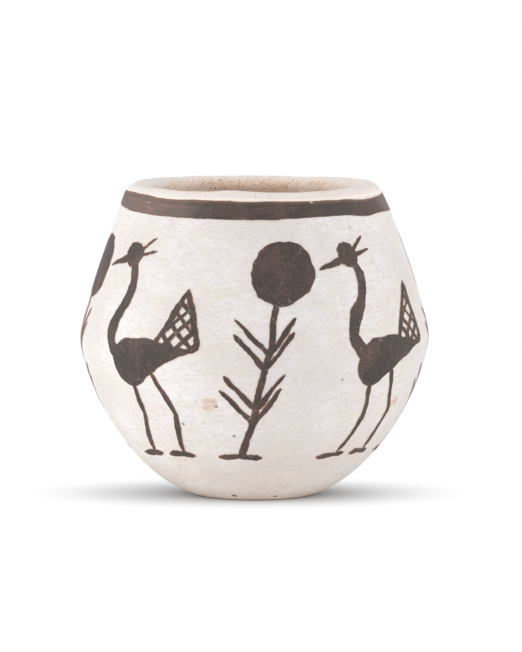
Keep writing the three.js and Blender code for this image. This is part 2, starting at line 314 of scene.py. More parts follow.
def footShadeAndChips(tree, coords, along, colour):
    # Painted shade along the edge that the pot stands on, where it meets the floor, and the chips
    # in it.
    place, halfWidth, fade, strength = clay["footShadeLine"]
    ragged = mathOf(tree, "SUBTRACT", grainOf(tree, coords, 0.9, 3.0, 0.7, offset=(6, 1, 1)), 0.5)
    away = mathOf(tree, "ADD", mathOf(tree, "SUBTRACT", along, place), ragged)
    # painted shade: a dark line where the foot meets the floor
    contactShade = ranged(tree, mathOf(tree, "ABSOLUTE", away), halfWidth, fade, strength, 0.0)
    colour = mixColour(tree, contactShade, colour, clay["contactShade"], "MULTIPLY")
    for mark in clay["footChips"]:
        colour = mixColour(tree, blotchAt(tree, coords, *mark), colour, clay["grit"])
    return colour


def clayColours(tree, coords):
    # The clay's colour, and the height of its grains for the bump.
    cloud = grainOf(tree, coords, clay["cloudSize"], 3.0)
    fine = grainOf(tree, coords, clay["fineSize"], 4.0, 0.65)
    base = mixColour(tree, ranged(tree, cloud, 0.35, 0.68), clay["colour"], clay["warm"])
    base = mixColour(tree, ranged(tree, fine, 0.45, 0.68, 0.0, 0.6), base, clay["deep"])
    flush = grainOf(tree, coords, clay["flushSize"], 2.0, offset=(6, 6, 2))
    base = mixColour(tree, ranged(tree, flush, 0.55, 0.72, 0.0, 0.6), base, clay["pink"])
    pale = dotsOf(tree, coords, *clay["paleGrains"])
    base = mixColour(tree, product(tree, pale, 0.6), base, clay["paleGrain"])
    # warmer and darker down inside the mouth, painted shade with a warmer clay tone; dusted pale
    # with slip near the lip; paler at the left and right sides, painted light
    along = nodeIn(tree, "Attribute", attribute_name="alongWall").outputs["Fac"]
    warmShadeInside = ranged(tree, along, alongCrest + 0.8, alongMouth + 2.0, 0.0, clay["insideShadeShare"])
    fading = ranged(tree, along, alongMouth + 2.0, alongMouth + 9.0, 1.0, 0.0)
    warmShadeInside = product(tree, warmShadeInside, fading)
    # painted shade: the clay darkens and warms just below the mouth
    base = mixColour(tree, warmShadeInside, base, clay["deep"], "MULTIPLY")
    far = ranged(tree, along, alongMouth + 3.0, alongMouth + 12.0, 0.0, clay["innerShare"])
    base = mixColour(tree, far, base, clay["inner"])
    start, end = (alongCrest + length for length in clay["dusted"])
    dustAndSideLight = ranged(tree, along, start, end, clay["dustShare"], 0.0)
    # painted light: the clay inside the mouth is paler towards the left and right sides
    sideLight = product(tree, sideShare(tree, coords, *clay["litSidesInside"]), clay["sideLightShare"])
    inside = ranged(tree, along, alongMouth + 3.0, alongMouth + 9.0, 1.0, 0.0)
    dustAndSideLight = mathOf(tree, "MAXIMUM", dustAndSideLight, product(tree, sideLight, inside))
    dustAndSideLight = product(tree, dustAndSideLight, ranged(tree, along, alongCrest - 1.0, alongCrest))
    patchy = grainOf(tree, coords, clay["patchSize"], 3.0, 0.6, offset=(2, 2, 2))
    dustAndSideLight = product(tree, dustAndSideLight, ranged(tree, patchy, 0.3, 0.6, 0.45, 1.0))
    base = mixColour(tree, dustAndSideLight, base, clay["dustAndLight"])
    brown = dotsOf(tree, coords, *clay["brownGrains"])
    base = mixColour(tree, product(tree, brown, 0.7), base, clay["brownGrain"])
    crowd = grainOf(tree, coords, clay["crowdSize"], 2.0, offset=(3, 8, 8))
    crowd = ranged(tree, crowd, 0.4, 0.6, 0.25, 0.9)
    for dots in clay["darkGrains"]:
        dark = product(tree, dotsOf(tree, coords, *dots), crowd)
        base = mixColour(tree, dark, base, clay["grit"])
    pits = dotsOf(tree, coords, *clay["pits"])
    height = mathOf(tree, "ADD", fine, product(tree, pale, 0.4))
    height = mathOf(tree, "SUBTRACT", height, pits)
    base = footShadeAndChips(tree, coords, along, base)
    return base, height


def clayFinish():
    material, tree, coords, shader = newFinish("bareClay")
    colour, height = clayColours(tree, coords)
    tree.links.new(colour, shader.inputs["Base Color"])
    shader.inputs["Roughness"].default_value = clay["roughness"]
    shader.inputs["Specular IOR Level"].default_value = clay["gloss"]
    relief = {"Height": height, "Strength": clay["bump"], "Distance": clay["relief"] * millimetre}
    bump = nodeIn(tree, "Bump", relief)
    tree.links.new(bump.outputs[0], shader.inputs["Normal"])
    return material


bareClay = clayFinish()

# White slip: wiped on in horizontal strokes, thin at the foot and just inside the lip

slip = {
    "colour": (240, 237, 237), "shade": (220, 213, 211), "blush": (232, 220, 215),
    # the brightest cream is a painted highlight on the lip's outer corner
    "cool": (230, 231, 234), "lipEdgeHighlight": (250, 239, 225), "straw": (228, 221, 209),
    "yellow": (230, 220, 202), "grain": (212, 203, 198), "speck": (128, 102, 84),
    "fleck": (184, 160, 142), "lip": (241, 229, 223), "stain": (204, 160, 126),
    "rubbed": (247, 241, 235),
    "roughness": 0.72, "gloss": 0.3, "relief": 0.06, "bump": 0.6,
    # dots: spacing, size, share of the cells, offset
    "grains": (0.9, 0.42, 0.4, (2, 5, 9)), "flecks": (1.0, 0.36, 0.32, (8, 2, 6)),
    "specks": (3.6, 0.5, 0.12, (6, 4, 8)), "pits": (1.4, 0.35, 0.18, (3, 3, 7)),
    "lipShare": 0.4, "grainShare": 0.7, "fleckShare": 0.34, "speckShare": 0.75,
    "stainShare": 0.6, "markShare": 0.95,
    "thickness": 0.35, "gap": 0.05, "feather": 1.9, "footStart": 1.9, "mouthEnd": 0.6,
    "rowPitch": 0.56, "lipRows": 25, "underEvery": 4, "steps": 360,
    "noises": {  # size, detail, roughness, stretch, offset
        "cloud": (16, 3, 0.55, (1, 1, 1), (3, 5, 1)), "blush": (9, 4, 0.55, (1, 1, 1), (9, 2, 6)),
        "mottle": (1.7, 4, 0.6, (1, 1, 1), (1, 7, 4)), "fine": (0.5, 3, 0.7),
        "wipes": (1.2, 4, 0.65, (0.2, 0.2, 1), (5, 5, 5)),
        "hairs": (0.5, 2, 0.6, (0.1, 0.1, 1), (2, 9, 3)),
        "dashes": (0.42, 2, 0.6, (0.3, 0.3, 1), (7, 1, 5)),
        "bands": (2.6, 3, 0.6, (0.22, 0.22, 1), (3, 1, 8)), "ragged": (1.2, 4, 0.7),
    },
    "washes": [  # noise, range that it comes in over, strength at both ends, colour
        ("blush", 0.5, 0.75, 0, 0.5, "blush"), ("blush", 0.25, 0.48, 0.4, 0, "cool"),
        ("bands", 0.5, 0.66, 0, 0.55, "yellow"), ("mottle", 0.35, 0.68, 0, 0.28, "shade"),
        ("wipes", 0.45, 0.68, 0, 0.55, "straw"), ("hairs", 0.48, 0.72, 0, 0.25, "shade"),
        ("dashes", 0.5, 0.66, 0, 0.5, "grain"), ("fine", 0.45, 0.62, 0, 0.3, "grain"),
    ],
    "thinsInMouth": (0.4, 2.8), "furtherAtSides": 2.2,  # past the crest
    "stains": [  # azimuth, height, width, tallness
        (-16, 21.8, 4.2, 4.6), (63, 20.0, 5.0, 3.0), (150, 30.0, 7.0, 5.0), (-120, 18.0, 4.0, 6.0),
    ],
    "marks": [
        (-13.6, 21.0, 1.3, 1.1), (-28, 17.0, 1.1, 0.9), (-8, 14.8, 1.1, 1.0), (43, 55.5, 1.0, 0.9),
        (31, 26.0, 0.8, 0.8), (-52, 38.0, 0.8, 1.0), (115, 24.0, 1.0, 1.0), (205, 41.0, 1.0, 0.8),
    ],
}


def slipFinish():
    material, tree, coords, shader = newFinish("whiteSlip")
    along = nodeIn(tree, "Attribute", attribute_name="alongWall").outputs["Fac"]
    grain = {name: grainOf(tree, coords, *row) for name, row in slip["noises"].items()}
    cloudy = ranged(tree, grain["cloud"], 0.3, 0.75)
    colour = mixColour(tree, cloudy, slip["colour"], slip["shade"])
    for name, *limits, tone in slip["washes"]:
        colour = mixColour(tree, ranged(tree, grain[name], *limits), colour, slip[tone])
    # a creamier coat over the lip, with more of the clay's grains in it
    onLip = ranged(tree, along, alongNeck - 0.3, alongNeck + 0.4)
    creamy = product(tree, onLip, slip["lipShare"])
    colour = mixColour(tree, creamy, colour, slip["lip"])
    grains = product(tree, dotsOf(tree, coords, *slip["grains"]), onLip)
    grains = product(tree, grains, slip["grainShare"])
    colour = mixColour(tree, grains, colour, slip["stain"])
    flecks = product(tree, dotsOf(tree, coords, *slip["flecks"]), slip["fleckShare"])
    colour = mixColour(tree, flecks, colour, slip["fleck"])
    specks = product(tree, dotsOf(tree, coords, *slip["specks"]), slip["speckShare"])
    colour = mixColour(tree, specks, colour, slip["speck"])
    for mark in slip["stains"]:
        stain = product(tree, blotchAt(tree, coords, *mark, 1.2), slip["stainShare"])
        colour = mixColour(tree, stain, colour, slip["stain"])
    for mark in slip["marks"]:
        spot = product(tree, blotchAt(tree, coords, *mark), slip["markShare"])
        colour = mixColour(tree, spot, colour, slip["speck"])
    # the clay shows through where the coat is worn at the foot and thins out inside the mouth
    clayColour, clayHeight = clayColours(tree, coords)
    ragged = mathOf(tree, "SUBTRACT", grain["ragged"], 0.5)
    reach = mathOf(tree, "ADD", along, product(tree, ragged, 6.0))
    worn = ranged(tree, reach, slip["footStart"], slip["footStart"] + 8.0, 0.5, 0)
    reach = mathOf(tree, "ADD", along, product(tree, ragged, 2.6))
    further = product(tree, sideShare(tree, coords, 13, 21), slip["furtherAtSides"])
    reach = mathOf(tree, "SUBTRACT", reach, further)
    inMouth = ranged(tree, reach, *(alongCrest + length for length in slip["thinsInMouth"]))
    bare = mathOf(tree, "MAXIMUM", worn, inMouth)
    colour = mixColour(tree, bare, colour, clayColour)
    # painted highlight along the outer edge of the lip, where its corner catches the light
    reach = mathOf(tree, "ADD", along, product(tree, ragged, 0.5))
    away = mathOf(tree, "ABSOLUTE", mathOf(tree, "SUBTRACT", reach, alongNeck + 0.15))
    colour = mixColour(tree, ranged(tree, away, 0.08, 0.38, 0.8, 0), colour, slip["lipEdgeHighlight"])
    # clay dust rubbed into the lower wall, and painted shade along the edge that the pot stands on
    level = nodeIn(tree, "SeparateXYZ", {"Vector": coords}).outputs["Z"]
    rubbed = ranged(tree, level, 2 * millimetre, 18 * millimetre, 1.0, 0.0)
    rubbed = product(tree, rubbed, ranged(tree, grain["blush"], 0.3, 0.6, 0.7, 1.0))
    colour = mixColour(tree, rubbed, colour, slip["rubbed"], "MULTIPLY")
    colour = footShadeAndChips(tree, coords, along, colour)
    tree.links.new(colour, shader.inputs["Base Color"])
    smoother, rougher = slip["roughness"] - 0.08, slip["roughness"] + 0.1
    rough = ranged(tree, grain["mottle"], 0.3, 0.7, smoother, rougher)
    tree.links.new(rough, shader.inputs["Roughness"])
    shader.inputs["Specular IOR Level"].default_value = slip["gloss"]
    pits = dotsOf(tree, coords, *slip["pits"])
    relief = product(tree, grain["fine"], 0.35)
    for name, share in (("wipes", 0.9), ("mottle", 0.7)):
        relief = mathOf(tree, "ADD", relief, product(tree, grain[name], share))
    relief = mathOf(tree, "SUBTRACT", relief, product(tree, pits, 0.6))
    grit = product(tree, clayHeight, bare)
    relief = mathOf(tree, "ADD", relief, product(tree, grit, 2.0))
    bump = nodeIn(tree, "Bump", {"Height": relief, "Strength": slip["bump"],
                                 "Distance": slip["relief"] * millimetre})
    tree.links.new(bump.outputs[0], shader.inputs["Normal"])
    return material


whiteSlip = slipFinish()

# Dark paint: brushed mineral black with a reddish fringe, streaks, pinholes and small scratches

paint = {
    "colour": (60, 53, 50), "brown": (89, 71, 64), "drier": (140, 108, 90),
    "dustAndSheenTone": (128, 112, 104), "scratch": (160, 146, 138), "fringe": (122, 80, 62),
    "stained": (206, 170, 144), "ruddy": (152, 112, 102), "roughness": 0.62, "gloss": 0.35,
    "relief": 0.04, "bump": 0.6, "lift": 0.03, "thickness": 0.05,
    # spacing, size, share of the cells, offset
    "rustDots": (1.3, 0.5, 0.15, (5, 9, 2)), "pinholes": (1.9, 0.34, 0.22, (2, 6, 1)),
    # dusty patches on the band; the wide one at the left end is also a painted sheen
    # azimuth, height, width, tallness
    "bandDustAndSheen": [(-66, 59.3, 50, 14), (82, 59.4, 20, 9), (170, 59.3, 30, 9)],
    "bandRust": [(-50, 59.6, 24, 3.6), (120, 59.4, 16, 3.0), (-140, 59.0, 14, 3.0)],
    "bandChips": [
        (-51.5, 60.1, 2.0, 0.6), (26, 60.7, 1.0, 0.6), (150, 59.0, 1.2, 0.6),
        (-150, 60.4, 1.4, 0.6),
    ],
}


def paintFinish(name, stretch, brownShare, grainShare, scratchShare, dustAndLight=(), rusty=(), chips=()):
    # stretch draws the streaks out along the brush
    material, tree, coords, shader = newFinish(name)
    edge = nodeIn(tree, "Attribute", attribute_name="inFromEdge").outputs["Fac"]  # millimetres
    cloud = grainOf(tree, coords, 6.0, 3.0, offset=(8, 1, 3))
    streak = grainOf(tree, coords, 0.6, 3.0, 0.6, stretch, (4, 4, 1))
    hairs = grainOf(tree, coords, 0.3, 2.0, 0.5, stretch, (7, 7, 7))
    fine = grainOf(tree, coords, 0.35, 3.0, 0.7, offset=(1, 2, 9))
    brownish = ranged(tree, cloud, 0.42, 0.7, 0, brownShare)
    colour = mixColour(tree, brownish, paint["colour"], paint["brown"])
    colour = mixColour(tree, ranged(tree, streak, 0.48, 0.7, 0, 0.75), colour, paint["brown"])
    colour = mixColour(tree, ranged(tree, fine, 0.45, 0.68, 0, grainShare), colour, paint["dustAndSheenTone"])
    # dusty patches; the one at the band's left end is also painted sheen
    for mark in dustAndLight:
        streaky = ranged(tree, streak, 0.3, 0.65, 0.35, 0.75)
        share = product(tree, blotchAt(tree, coords, *mark), streaky)
        colour = mixColour(tree, share, colour, paint["dustAndSheenTone"])
    if dustAndLight:
        # the brush ran drier along the upper edge of the band
        level = nodeIn(tree, "SeparateXYZ", {"Vector": coords}).outputs["Z"]
        upper = ranged(tree, level, 58.2 * millimetre, 60 * millimetre)
        drier = product(tree, ranged(tree, edge, 0.1, 0.8, 0.7, 0), upper)
        drier = product(tree, drier, ranged(tree, streak, 0.35, 0.6, 0.4, 1.0))
        colour = mixColour(tree, drier, colour, paint["drier"])
    for mark in rusty:
        streaky = ranged(tree, streak, 0.42, 0.6, 0.15, 0.5)
        share = product(tree, blotchAt(tree, coords, *mark), streaky)
        colour = mixColour(tree, share, colour, paint["ruddy"])
    colour = mixColour(tree, ranged(tree, hairs, 0.64, 0.76, 0, 0.3), colour, paint["scratch"])
    ragged = mathOf(tree, "ADD", edge, product(tree, mathOf(tree, "SUBTRACT", fine, 0.5), 0.35))
    thin = ranged(tree, cloud, 0.35, 0.6, 0.35, 0.85)
    fringe = product(tree, ranged(tree, ragged, 0.06, 0.24, 1, 0), thin)
    if dustAndLight:
        # the reddish fringe is weaker along its lower edge
        upper = ranged(tree, level, 57.5 * millimetre, 60 * millimetre, 0.35, 1.0)
        fringe = product(tree, fringe, upper)
    colour = mixColour(tree, fringe, colour, paint["fringe"])
    colour = mixColour(tree, ranged(tree, ragged, 0.0, 0.08, 0.8, 0), colour, paint["stained"])
    rust = dotsOf(tree, coords, *paint["rustDots"])
    colour = mixColour(tree, product(tree, rust, grainShare), colour, paint["fringe"])
    # scratches: fine curled lines that come in clusters
    curl = grainOf(tree, coords, 3.2, 2.0, 0.4, offset=(1, 1, 8))
    curl = mathOf(tree, "ABSOLUTE", mathOf(tree, "SUBTRACT", curl, 0.5))
    cluster = grainOf(tree, coords, 5.0, 1.0, offset=(5, 8, 8))
    cluster = ranged(tree, cluster, 0.54, 0.66, 0, scratchShare)
    scratches = product(tree, ranged(tree, curl, 0.002, 0.01, 1, 0), cluster)
    colour = mixColour(tree, scratches, colour, paint["scratch"])
    pinholes = dotsOf(tree, coords, *paint["pinholes"])
    colour = mixColour(tree, product(tree, pinholes, 0.45), colour, slip["blush"])
    for mark in chips:
        chip = product(tree, blotchAt(tree, coords, *mark), 0.8)
        colour = mixColour(tree, chip, colour, slip["blush"])
    tree.links.new(colour, shader.inputs["Base Color"])
    rough = ranged(tree, streak, 0.3, 0.7, paint["roughness"] - 0.1, paint["roughness"] + 0.12)
    tree.links.new(rough, shader.inputs["Roughness"])
    shader.inputs["Specular IOR Level"].default_value = paint["gloss"]
    relief = mathOf(tree, "ADD", product(tree, streak, 0.8), fine)
    relief = mathOf(tree, "SUBTRACT", relief, pinholes)
    bump = nodeIn(tree, "Bump", {"Height": relief, "Strength": paint["bump"],
                                 "Distance": paint["relief"] * millimetre})
    tree.links.new(bump.outputs[0], shader.inputs["Normal"])
    return material


bandPaint = paintFinish(
    "bandPaint", (0.08, 0.08, 1), brownShare=0.7, grainShare=0.22, scratchShare=0,
    dustAndLight=paint["bandDustAndSheen"], rusty=paint["bandRust"], chips=paint["bandChips"])
figurePaint = paintFinish(
    "figurePaint", (0.35, 0.35, 0.35), brownShare=0.9, grainShare=0.25, scratchShare=0.5)
print("finishes made")


# The clay wall and the coat of slip over it

wallRows = {
    "foot": 0.35, "wall": 1.8, "lip": 0.4, "mouth": 0.25, "inside": 0.8,  # from one row to the next
    "floorRings": 12, "underside": (0, 4, 7, 9),  # the second by their radii
}

fingers = {  # what they and the grit left on the inside
    "grit": 0.10, "gritSize": 1.5, "swells": 0.16, "swellSize": 4.5, "coils": 0.12, "coilTurn": 1.3,
    "coilWaverSize": 14, "lowest": 5, "highest": 61.5, "depth": 3.2,
}


coatStart, coatEnd = slip["footStart"], alongMouth - slip["mouthEnd"]


def coatShare(along):
    # How much of the coat's thickness lies at a length along the outline.
    return np.clip(np.minimum(along - coatStart, coatEnd - along) / slip["feather"], 0, 1)


def insideOfWall():
    # The inside of the wall from the mouth down to the floor.
    (lowPlace, lowWay), (highPlace, highWay) = outlineCurves()[:2]
    places = np.vstack([lowPlace, highPlace[1:]])[::-1]
    ways = np.vstack([lowWay, highWay[1:]])[::-1]
    up = np.minimum(1, places[:, 1] / pot["bellyHeight"])[:, None]
    thickness = pot["floor"] + (pot["wall"] - pot["floor"]) * up
    inner = places + np.column_stack([-ways[:, 1], ways[:, 0]]) * thickness
    length = np.concatenate([[0], np.cumsum(np.linalg.norm(np.diff(inner, axis=0), axis=1))])
    rows = np.arange(wallRows["inside"], length[-1], wallRows["inside"])
    return np.column_stack([np.interp(rows, length, inner[:, axis]) for axis in (0, 1)])


def makeClayWall():
    bm = bmesh.new()
    full, thinner = coatStart + slip["feather"], coatEnd - slip["feather"]
    along = np.concatenate([
        np.arange(0, full, wallRows["foot"]), np.arange(full, alongNeck, wallRows["wall"]),
        np.arange(alongNeck, thinner, wallRows["lip"]),
        np.arange(thinner, alongMouth, wallRows["mouth"]), [alongMouth],
    ])
    outside = onOutline(along, (slip["thickness"] + slip["gap"]) * coatShare(along))
    inside = insideOfWall()
    rings = np.linspace(inside[-1][0], 0, wallRows["floorRings"] + 1)[1:]
    floor = [(radius, inside[-1][1]) for radius in rings]
    under = [(radius, 0) for radius in wallRows["underside"]]
    # lengths under the foot are below zero, and they go on growing down the inside
    underLengths = [radius - pot["footRadius"] for radius in wallRows["underside"]]
    insideLengths = alongMouth + wallRows["inside"] * np.arange(1, len(inside) + len(floor) + 1)
    lengths = [*underLengths, *along, *insideLengths]
    spinProfile(bm, [*under, *outside, *inside, *floor], lengths, slip["steps"], False)
    formByHand(bm)
    bm.normal_update()
    x, y, z = np.array([corner.co for corner in bm.verts]).T
    wallRadius = onOutline(alongAt(np.minimum(z, pot["neckHeight"] - 0.1)))[:, 0]
    onInside = (z > fingers["lowest"]) & (np.hypot(x, y) < wallRadius - fingers["depth"])
    for corner, share in zip(bm.verts, onInside * eased(fingers["highest"] - z, 0, 2.0)):
        if share > 0:
            rough = fingers["grit"] * noise.noise(corner.co / fingers["gritSize"])
            rough += fingers["swells"] * noise.noise(corner.co / fingers["swellSize"])
            waver = 2 * noise.noise(corner.co / fingers["coilWaverSize"])
            rough += fingers["coils"] * sin(corner.co.z * fingers["coilTurn"] + waver)
            corner.co += corner.normal * rough * share
    for face in bm.faces:
        face.smooth = True
    finishPiece(bm, "clayWall", bareClay, "bare_clay", "clay_body")


def makeSlipCoat():
    bm = bmesh.new()
    least = 0.03 * slip["feather"]  # stops short of where the coat has no thickness
    rows = int((alongNeck - coatStart) / slip["rowPitch"])
    onWall = np.linspace(coatStart + least, alongNeck, rows)
    overLip = np.linspace(alongNeck, coatEnd - least, slip["lipRows"] + 1)[1:]
    along = np.concatenate([onWall, overLip])
    under = np.concatenate([along[::slip["underEvery"]], along[-1:]])
    outer = onOutline(along)
    inner = onOutline(under, slip["thickness"] * coatShare(under))[::-1]
    spinProfile(bm, [*outer, *inner], [*along, *under[::-1]], slip["steps"], True)
    formByHand(bm)
    for face in bm.faces:
        face.smooth = True
    finishPiece(bm, "slipCoat", whiteSlip, "white_slip", "slip_coat")


makeClayWall()
makeSlipCoat()


# Painted films. A sheet is drawn flat, wrapped onto the wall and given its thickness.

def wrapOnWall(bm, azimuth, along):
    # azimuth and length along the outline of every vertex of the sheet
    spots = onOutline(np.array(along), -paint["lift"])
    for corner, turn, (radius, level) in zip(bm.verts, azimuth, spots):
        corner.co = (radius * sin(turn), -radius * cos(turn), level)
    formByHand(bm)


def thickenFilm(bm):
    bmesh.ops.recalc_face_normals(bm, faces=bm.faces)
    bm.normal_update()
    outward = sum(face.normal.xy.dot(face.calc_center_median().xy) for face in bm.faces)
    if outward < 0:
        bmesh.ops.reverse_faces(bm, faces=bm.faces)
    raised = bmesh.ops.extrude_face_region(bm, geom=list(bm.faces), use_keep_orig=True)
    lifted = [part for part in raised["geom"] if isinstance(part, bmesh.types.BMVert)]
    for corner in lifted:
        corner.co += corner.normal * paint["thickness"]
    top = {part for part in raised["geom"] if isinstance(part, bmesh.types.BMFace)}
    for face in bm.faces:
        face.smooth = face in top
    bmesh.ops.recalc_face_normals(bm, faces=bm.faces)
    bm.normal_update()


band = {
    "foot": -3.85, "top": -0.1,  # along the wall from the outer edge of the lip
    "steps": 720, "rows": 20, "waver": 0.16, "wavesRound": 5, "brush": 0.1, "coarse": 9, "fine": 30,
    "touches": [  # azimuth, rise of the foot, rise of the top, spread
        (-92, 0.85, 0.45, 38), (10, -0.1, -0.1, 40), (90, -0.3, -0.1, 30), (-88, 0.85, 0, 30),
        (-66, 0, 0.3, 18), (-27, 0, 0.25, 10), (-3, 0, -0.33, 7.5), (25, 0.38, 0.2, 12),
        (42, 0.2, 0, 6), (55.5, -0.32, 0, 6.5), (60, 0, -0.55, 14), (76, 0.12, 0, 8),
    ],
}


def makeRimBand():
    bm = bmesh.new()
    bmesh.ops.create_grid(bm, x_segments=band["steps"], y_segments=band["rows"], size=1)
    inEdge = bm.verts.layers.float.new("inFromEdge")
    azimuths, lengths = [], []
    for corner in bm.verts:
        azimuth = corner.co.x * pi
        share = (corner.co.y + 1) / 2
        turn = Vector((cos(azimuth), sin(azimuth), 0))
        edges = []
        for side, level in ((-1, band["foot"]), (1, band["top"])):
            level += band["waver"] * sin((band["wavesRound"] + side) * azimuth + 2 * side)
            coarse = noise.noise(turn * band["coarse"] + Vector((0, 0, 5 * side)))
            fine = noise.noise(turn * band["fine"] + Vector((0, 0, 9 * side)))
            level += band["brush"] * coarse
            level += 0.5 * band["brush"] * fine
            for degrees, footRise, topRise, spread in band["touches"]:
                away = abs((azimuth * 180 / pi - degrees + 180) % 360 - 180)
                level += (footRise if side < 0 else topRise) * exp(-(away / spread) ** 2)
            edges.append(level)
        azimuths.append(azimuth)
        lengths.append(alongNeck + edges[0] + share * (edges[1] - edges[0]))
        corner[inEdge] = min(share, 1 - share) * (edges[1] - edges[0])
    wrapOnWall(bm, azimuths, lengths)
    bmesh.ops.remove_doubles(bm, verts=bm.verts, dist=0.001)
    thickenFilm(bm)
    finishPiece(bm, "rimBand", bandPaint, "dark_paint", "rim_band")


makeRimBand()

# The figures are drawn on a sheet ruled in squares of about a millimetre, with a brush that wavers.

sheet = {
    "columns": 27.5, "rows": 44.0, "margin": 2, "foot": 9.5, "top": 53.9, "firstPlant": 5.0,
    "cell": 0.16, "innerFrom": 0.3, "snapWithin": 1.6,  # the last two in cells
}
sheet["across"] = 2 * pi * pot["bellyRadius"] / 8 / sheet["columns"]
sheet["up"] = (sheet["top"] - sheet["foot"]) / sheet["rows"]

brush = {
    "width": 1.2, "fine": 0.9, "net": 0.9, "netSpacing": 2.2, "nib": 0.9, "sway": 0.2,
    "lump": 0.12, "lumpSize": 0.8, "swellSize": 2.6, "edgeZone": 0.6,
}


def strokeReach(xs, ys, points, startWidth, endWidth, seed):
    # How far each spot lies outside a stroke through the points, less than nothing inside it.
    points = np.array(points, dtype=float)
    steps = np.linalg.norm(np.diff(points, axis=0), axis=1)
    length = np.concatenate([[0], np.cumsum(steps)])
    stops = np.linspace(0, length[-1], max(4, int(length[-1] / 0.8)))
    run = np.column_stack([np.interp(stops, length, points[:, axis]) for axis in (0, 1)])
    half = np.interp(stops, [0, length[-1]], [startWidth / 2, endWidth / 2])
    half *= 1 + 0.1 * np.sin(stops * 0.9 + seed) + 0.05 * np.sin(stops * 2.3 + 2 * seed)
    tip = np.minimum(stops, length[-1] - stops) / brush["nib"]
    half *= 0.5 + 0.5 * np.sqrt(np.clip(tip, 0, 1))
    nearest = np.full(xs.shape, 1e3)
    for (ax, ay), (bx, by), halfA, halfB in zip(run, run[1:], half, half[1:]):
        wayX, wayY = bx - ax, by - ay
        share = np.clip(((xs - ax) * wayX + (ys - ay) * wayY) / (wayX**2 + wayY**2), 0, 1)
        away = np.hypot(xs - ax - share * wayX, ys - ay - share * wayY)
        nearest = np.minimum(nearest, away - halfA - share * (halfB - halfA))
    return nearest


def discReach(xs, ys, middle, radius, seed):
    turn = np.arctan2(ys - middle[1], xs - middle[0])
    lumpy = radius * (1 + 0.018 * np.sin(2 * turn + seed) + 0.012 * np.sin(5 * turn + 3 * seed))
    lumpy += 0.06 * np.sin(11 * turn + 2 * seed) + 0.05 * np.sin(17 * turn + 5 * seed)
    return np.hypot(xs - middle[0], ys - middle[1]) - lumpy


def dropReach(xs, ys, middle, radius, tip):
    # A round end that narrows to a tip in a slight curve.
    nearest = np.full(xs.shape, 1e3)
    for share in np.linspace(0, 1, 26):
        x = middle[0] + share * (tip[0] - middle[0])
        y = middle[1] + share * (tip[1] - middle[1]) + 0.5 * sin(pi * share)
        nearest = np.minimum(nearest, np.hypot(xs - x, ys - y) - radius * (1 - share) ** 0.92)
    return nearest


def netReach(xs, ys, corners, seed):
    # A triangle filled with crossing lines, with a heavier line along each side.
    corners = np.array(corners)
    centre = corners.mean(axis=0)
    inside = np.full(xs.shape, -1e3)
    for start, end in zip(corners, np.roll(corners, -1, axis=0)):
        way = (end - start) / np.linalg.norm(end - start)
        inside = np.maximum(inside, (xs - start[0]) * way[1] - (ys - start[1]) * way[0])
    nearest = np.full(xs.shape, 1e3)
    for turn in (pi / 4, -pi / 4):
        across = -(xs - centre[0]) * sin(turn) + (ys - centre[1]) * cos(turn)
        line = np.round(across / brush["netSpacing"])
        offset = 0.16 * np.sin(line * 2.4 + seed + turn)
        half = brush["net"] / 2 * (1 + 0.18 * np.sin(line * 1.7 + 2 * seed))
        nearest = np.minimum(nearest, np.abs(across - line * brush["netSpacing"] - offset) - half)
    nearest = np.maximum(nearest, inside)
    for index in range(3):
        side = [corners[index], corners[(index + 1) % 3]]
        edge = strokeReach(xs, ys, side, brush["width"], brush["width"], seed + index)
        nearest = np.minimum(nearest, edge)
    return nearest


bird = {
    "body": (-3.2, 19.5), "bodyRadius": 4.8, "bodyTip": (11.5, 22.5),
    "neck": ((-5.5, 20.5), (-15.5, 27), (0.5, 30.5), (-5.6, 39.6)),
    "head": (-5.9, 40.5), "headRadius": 2.5,
    "beak": ((-7, 40), (-13.2, 37.5)),
    "crest": (((-5, 41), (-0.8, 43.4)), ((-5, 40.4), (0.2, 40.8))),
    "legs": (((-3.6, 16.5), (-2.6, 8.6), (-4.6, 1.6)), ((2.2, 17.5), (5.4, 9.4), (3.4, 1.6))),
    "feet": (((-2.6, 1), (-8.6, 0.6)), ((5.2, 1), (-0.4, 0.6))),
    "tail": ((2.5, 21), (13, 22.5), (9.5, 34)),
}


def birdReach(xs, ys, seed):
    width, fine = brush["width"], brush["fine"]
    neck = curveRun(*bird["neck"], count=24)[0]
    parts = [
        dropReach(xs, ys, bird["body"], bird["bodyRadius"], bird["bodyTip"]),
        strokeReach(xs, ys, neck, 2.5 * width, 1.6 * width, seed),
        discReach(xs, ys, bird["head"], bird["headRadius"], seed),
        strokeReach(xs, ys, bird["beak"], 1.5 * width, 0.5 * width, seed),
        netReach(xs, ys, bird["tail"], seed),
    ]
    parts += [strokeReach(xs, ys, feather, fine, 0.7 * fine, seed + 1) for feather in bird["crest"]]
    parts += [strokeReach(xs, ys, leg, 1.05 * width, width, seed + 2) for leg in bird["legs"]]
    parts += [strokeReach(xs, ys, foot, width, width, seed + 4) for foot in bird["feet"]]
    return np.minimum.reduce(parts)


plant = {
    "root": (-4.6, 0.8), "ground": ((-8.6, 0.6), (-0.6, 0.9)),
    "flower": (3, 37.2), "flowerRadius": 6.3,
    "leafHeights": (8, 10.8, 19, 21.8), "leftLeaf": (-6.2, 6.4), "rightLeaf": (5.6, 6.8),
}


